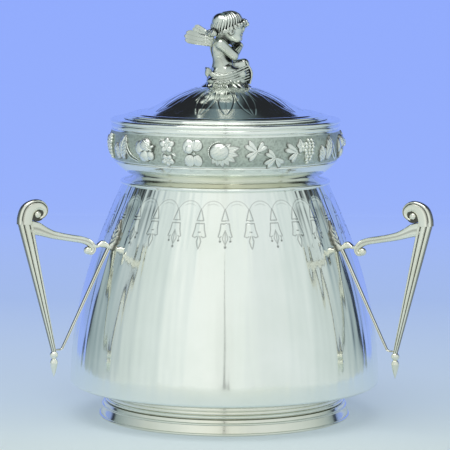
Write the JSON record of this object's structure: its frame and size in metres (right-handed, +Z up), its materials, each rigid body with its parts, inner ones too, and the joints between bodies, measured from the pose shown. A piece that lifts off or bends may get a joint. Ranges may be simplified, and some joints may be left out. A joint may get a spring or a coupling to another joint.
{
  "type": "covered sugar bowl",
  "caption": "Silver covered sugar bowl with a fluted body, frieze band, bracket handles, domed lift-off lid and a seated winged child finial.",
  "frame": {"origin": "centre of the foot ring on the plane that the bowl stands on", "axes": "+Z up along the bowl's axis, -Y towards the front, one handle straight behind at +Y and the others 120 degrees to each side of it"},
  "size_m": [0.1776, 0.1693, 0.1773],
  "materials": {
    "polished_silver": "polished silver with fine wear",
    "matted_silver": "stippled matt ground between polished mouldings",
    "cast_trim_silver": "cast and chased, dark in the recesses",
    "handle_silver": "polished cast silver, faintly gilt",
    "figure_silver": "cast silver, dark in the recesses",
    "fixing_silver": "turned, unpolished"
  },
  "bodies": {
    "bowl": {"arm_back": "handle_silver", "arm_left": "handle_silver", "arm_right": "handle_silver", "arm_scroll_back": "handle_silver", "arm_scroll_left": "handle_silver", "arm_scroll_right": "handle_silver", "belly_pan": "polished_silver", "body_wall": "polished_silver", "ferrule_back": "handle_silver", "ferrule_left": "handle_silver", "ferrule_right": "handle_silver", "foot_collar": "polished_silver", "foot_ring": "polished_silver", "foot_wire": "polished_silver", "frieze_band": "matted_silver", "frieze_blossoms": "cast_trim_silver", "frieze_clovers": "cast_trim_silver", "frieze_grapes": "cast_trim_silver", "frieze_leaves": "cast_trim_silver", "frieze_melon_leaves": "cast_trim_silver", "frieze_melons": "cast_trim_silver", "frieze_pansies": "cast_trim_silver", "frieze_strawberries": "cast_trim_silver", "leaf_pad_back": "handle_silver", "leaf_pad_left": "handle_silver", "leaf_pad_right": "handle_silver", "neck_collar": "polished_silver", "post_back": "handle_silver", "post_left": "handle_silver", "post_right": "handle_silver", "rim_moulding": "polished_silver", "seat_ring": "polished_silver", "shoulder_wire": "polished_silver", "spear_back": "handle_silver", "spear_left": "handle_silver", "spear_right": "handle_silver", "stay_back": "handle_silver", "stay_left": "handle_silver", "stay_right": "handle_silver", "volute_back": "handle_silver", "volute_left": "handle_silver", "volute_right": "handle_silver"},
    "lid": {"cherub_arm_left": "figure_silver", "cherub_arm_right": "figure_silver", "cherub_drape": "figure_silver", "cherub_head": "figure_silver", "cherub_leg_left": "figure_silver", "cherub_leg_right": "figure_silver", "cherub_torso": "figure_silver", "cherub_wing_left": "figure_silver", "cherub_wing_right": "figure_silver", "finial_mound": "figure_silver", "finial_nut": "fixing_silver", "finial_stud": "fixing_silver", "finial_washer": "fixing_silver", "lid_bezel": "polished_silver", "lid_cover": "polished_silver", "lid_rim_wire": "polished_silver"}
  },
  "joints": [
    {"name": "lid_lift", "type": "slide", "parent": "bowl", "child": "lid", "axis": [0, 0, 1], "range_m": [0, 0.1]}
  ]
}
